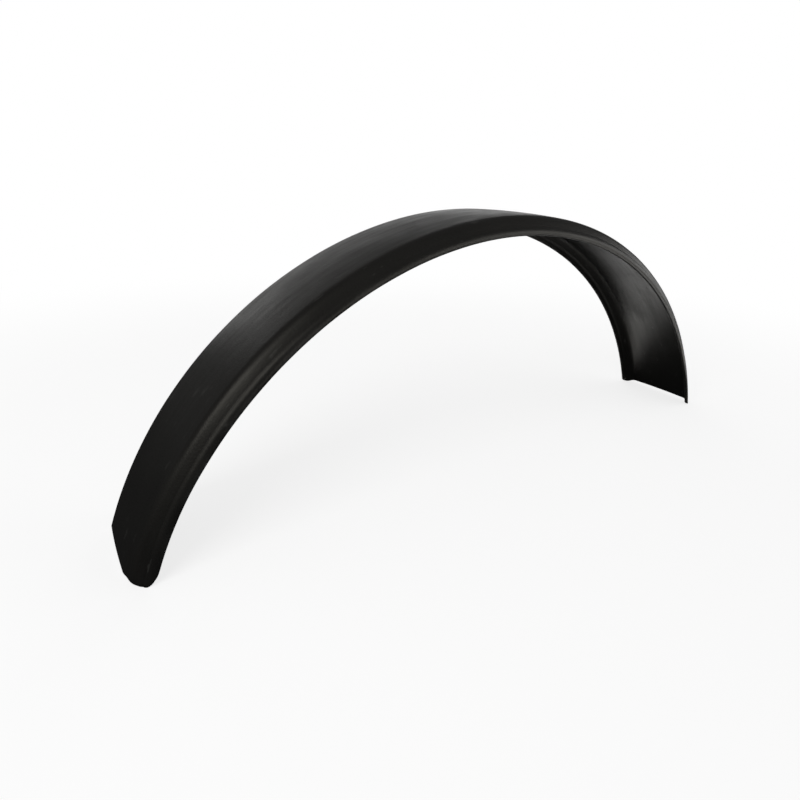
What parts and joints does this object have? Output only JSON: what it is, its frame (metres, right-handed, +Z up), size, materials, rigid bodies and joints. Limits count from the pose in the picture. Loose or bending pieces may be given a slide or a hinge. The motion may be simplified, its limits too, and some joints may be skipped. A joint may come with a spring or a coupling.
{
  "type": "bicycle mudguard",
  "caption": "Arched bicycle mudguard blade with a shallow crown, sloped flanks and rolled lips, cut square at the ends.",
  "frame": {"origin": "middle of the footprint, on the floor that the four end corners stand on", "axes": "+Z up from the floor to the crown, +X along the blade towards the rear end, +Y across the blade, parallel to the wheel axis"},
  "size_m": [0.521, 0.075, 0.184],
  "materials": {
    "blade_plastic": "satin black, slightly wavy, with fine handling scuffs"
  },
  "bodies": {
    "root": {"mudguard_blade": "blade_plastic"}
  },
  "joints": []
}
